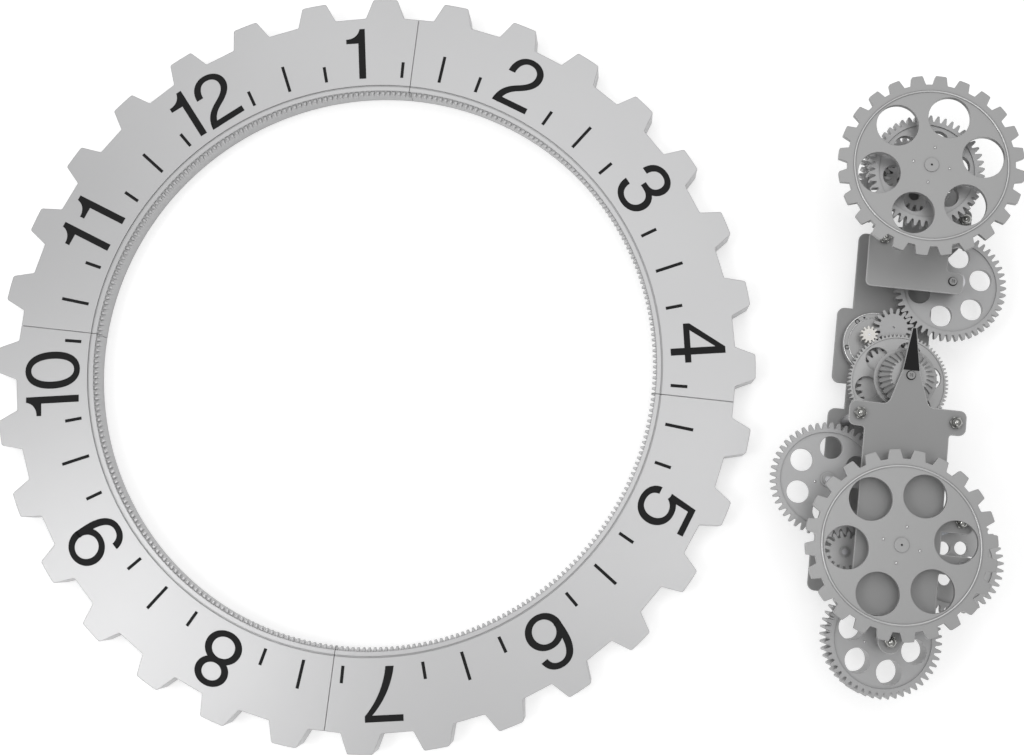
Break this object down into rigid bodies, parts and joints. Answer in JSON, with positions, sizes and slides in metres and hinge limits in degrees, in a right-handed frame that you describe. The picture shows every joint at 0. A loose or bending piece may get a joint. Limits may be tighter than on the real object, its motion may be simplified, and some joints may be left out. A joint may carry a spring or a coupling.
{
  "type": "gear wall clock",
  "caption": "Wall clock taken apart: a toothed hour ring in joined segments beside a geared, battery-driven movement with a fixed pointer and two round display wheels.",
  "frame": {"origin": "centre of the overall bounding box, on the surface that the ring and the rear plate lie on", "axes": "+X from the ring towards the movement, +Y up the picture, +Z from the wall towards the viewer"},
  "size_m": [0.7124, 0.54, 0.09],
  "materials": {
    "ring_silver": "satin silver paint",
    "gear_silver": "satin silver paint",
    "wheel_silver": "satin silver paint",
    "plate_paint": "satin grey paint",
    "rear_paint": "satin grey paint",
    "black_paint": "matt black",
    "steel": "turned",
    "zinc": "zinc plated",
    "screw": "blackened",
    "chrome": "bright",
    "brass": "turned",
    "motor_shell": "satin",
    "white_plastic": "satin",
    "board": "lacquered",
    "copper": "enamelled wire",
    "iron": "dull",
    "box_plastic": "fine texture",
    "cell_can": "printed sleeve, bare of text",
    "contact": "nickel plated"
  },
  "bodies": {
    "frame": {"rear_plate": "rear_paint", "middle_plate": "rear_paint", "plate_spacers": "zinc", "bridge_plate": "plate_paint", "bridge_pillars": "steel", "pointer_plate": "plate_paint", "pointer_pillars": "steel", "pointer": "black_paint", "acorn_nuts": "chrome", "pan_screws": "chrome", "drive_axle": "steel", "upper_gear_stud": "steel", "short_studs": "steel", "arbor_bushes": "brass", "gear_studs": "steel", "stud_clips": "screw", "right_gear_stud": "steel", "bottom_pillar": "steel", "side_pillar": "steel", "bearing_arm": "zinc", "motor_case": "motor_shell", "motor_cover": "motor_shell", "motor_screws": "screw", "motor_board": "board", "motor_coil": "copper", "motor_stator": "iron", "battery_box": "box_plastic", "battery_cover": "box_plastic", "battery_cell": "cell_can", "battery_contacts": "contact"},
    "ring": {"ring_segment_1": "ring_silver", "ring_segment_2": "ring_silver", "ring_segment_3": "ring_silver", "ring_segment_4": "ring_silver", "ring_joint_plates": "zinc", "ring_joint_screws": "screw"},
    "drive_train": {"drive_wheel": "gear_silver", "transfer_gear": "gear_silver", "ring_pinion": "gear_silver"},
    "motor_output": {"motor_arbor": "steel", "motor_wheel": "white_plastic", "motor_pinion": "white_plastic"},
    "rotor": {"motor_rotor": "iron"},
    "upper_pinion_body": {"upper_pinion": "gear_silver"},
    "upper_gear_body": {"upper_gear": "gear_silver"},
    "top_train": {"top_arbor": "steel", "top_rear_gear": "gear_silver", "top_middle_gear": "gear_silver", "top_front_gear": "gear_silver", "top_display_wheel": "wheel_silver"},
    "top_idler": {"top_idler_pinion": "gear_silver"},
    "idler": {"idler_pinion": "gear_silver"},
    "lower_left": {"lower_left_gear": "gear_silver"},
    "left_pinion_body": {"left_pinion": "gear_silver"},
    "lower_train": {"lower_arbor": "steel", "lower_arbor_gears": "gear_silver", "lower_display_wheel": "wheel_silver"},
    "right_gear_body": {"right_gear": "gear_silver"},
    "bottom_gear_body": {"bottom_gear": "gear_silver"}
  },
  "joints": [
    {"name": "drive_turn", "type": "hinge", "parent": "frame", "child": "drive_train", "pos_m": [0.27878, -0.01787, 0.036], "axis": [0, 0, 1], "continuous": true},
    {"name": "motor_output_turn", "type": "hinge", "parent": "frame", "child": "motor_output", "pos_m": [0.26007, 0.01577, 0.036], "axis": [0, 0, 1], "continuous": true},
    {"name": "rotor_turn", "type": "hinge", "parent": "frame", "child": "rotor", "pos_m": [0.26328, 0.00845, 0.022], "axis": [0, 0, 1], "continuous": true},
    {"name": "upper_pinion_turn", "type": "hinge", "parent": "frame", "child": "upper_pinion_body", "pos_m": [0.2778, 0.02138, 0.031], "axis": [0, 0, 1], "continuous": true},
    {"name": "upper_gear_turn", "type": "hinge", "parent": "frame", "child": "upper_gear_body", "pos_m": [0.31774, 0.05025, 0.031], "axis": [0, 0, 1], "continuous": true},
    {"name": "top_turn", "type": "hinge", "parent": "frame", "child": "top_train", "pos_m": [0.29408, 0.12028, 0.05], "axis": [0, 0, 1], "continuous": true},
    {"name": "top_idler_turn", "type": "hinge", "parent": "frame", "child": "top_idler", "pos_m": [0.26529, 0.13123, 0.054], "axis": [0, 0, 1], "continuous": true},
    {"name": "idler_turn", "type": "hinge", "parent": "frame", "child": "idler", "pos_m": [0.26777, -0.05557, 0.04], "axis": [0, 0, 1], "continuous": true},
    {"name": "lower_left_turn", "type": "hinge", "parent": "frame", "child": "lower_left", "pos_m": [0.22764, -0.08417, 0.045], "axis": [0, 0, 1], "continuous": true},
    {"name": "left_pinion_turn", "type": "hinge", "parent": "frame", "child": "left_pinion_body", "pos_m": [0.23761, -0.13243, 0.045], "axis": [0, 0, 1], "continuous": true},
    {"name": "lower_turn", "type": "hinge", "parent": "frame", "child": "lower_train", "pos_m": [0.26656, -0.1282, 0.05], "axis": [0, 0, 1], "continuous": true},
    {"name": "right_turn", "type": "hinge", "parent": "frame", "child": "right_gear_body", "pos_m": [0.30721, -0.14007, 0.052], "axis": [0, 0, 1], "continuous": true},
    {"name": "bottom_turn", "type": "hinge", "parent": "frame", "child": "bottom_gear_body", "pos_m": [0.25977, -0.18952, 0.045], "axis": [0, 0, 1], "continuous": true},
    {"name": "ring_turn", "type": "hinge", "parent": "frame", "child": "ring", "pos_m": [-0.08624, 0, 0.01], "axis": [0, 0, 1], "continuous": true}
  ],
  "couplings": [
    {"joint": "motor_output_turn", "follows": "drive_turn", "ratio": -6.3333},
    {"joint": "rotor_turn", "follows": "drive_turn", "ratio": 19},
    {"joint": "upper_pinion_turn", "follows": "drive_turn", "ratio": -2.1875},
    {"joint": "upper_gear_turn", "follows": "drive_turn", "ratio": 0.72917},
    {"joint": "top_turn", "follows": "drive_turn", "ratio": -0.72917},
    {"joint": "top_idler_turn", "follows": "drive_turn", "ratio": 1.7014},
    {"joint": "idler_turn", "follows": "drive_turn", "ratio": -2.1875},
    {"joint": "lower_left_turn", "follows": "drive_turn", "ratio": 0.72917},
    {"joint": "left_pinion_turn", "follows": "drive_turn", "ratio": -2.1875},
    {"joint": "lower_turn", "follows": "drive_turn", "ratio": 1.5909},
    {"joint": "right_turn", "follows": "drive_turn", "ratio": -0.54324},
    {"joint": "bottom_turn", "follows": "drive_turn", "ratio": 0.46402}
  ]
}
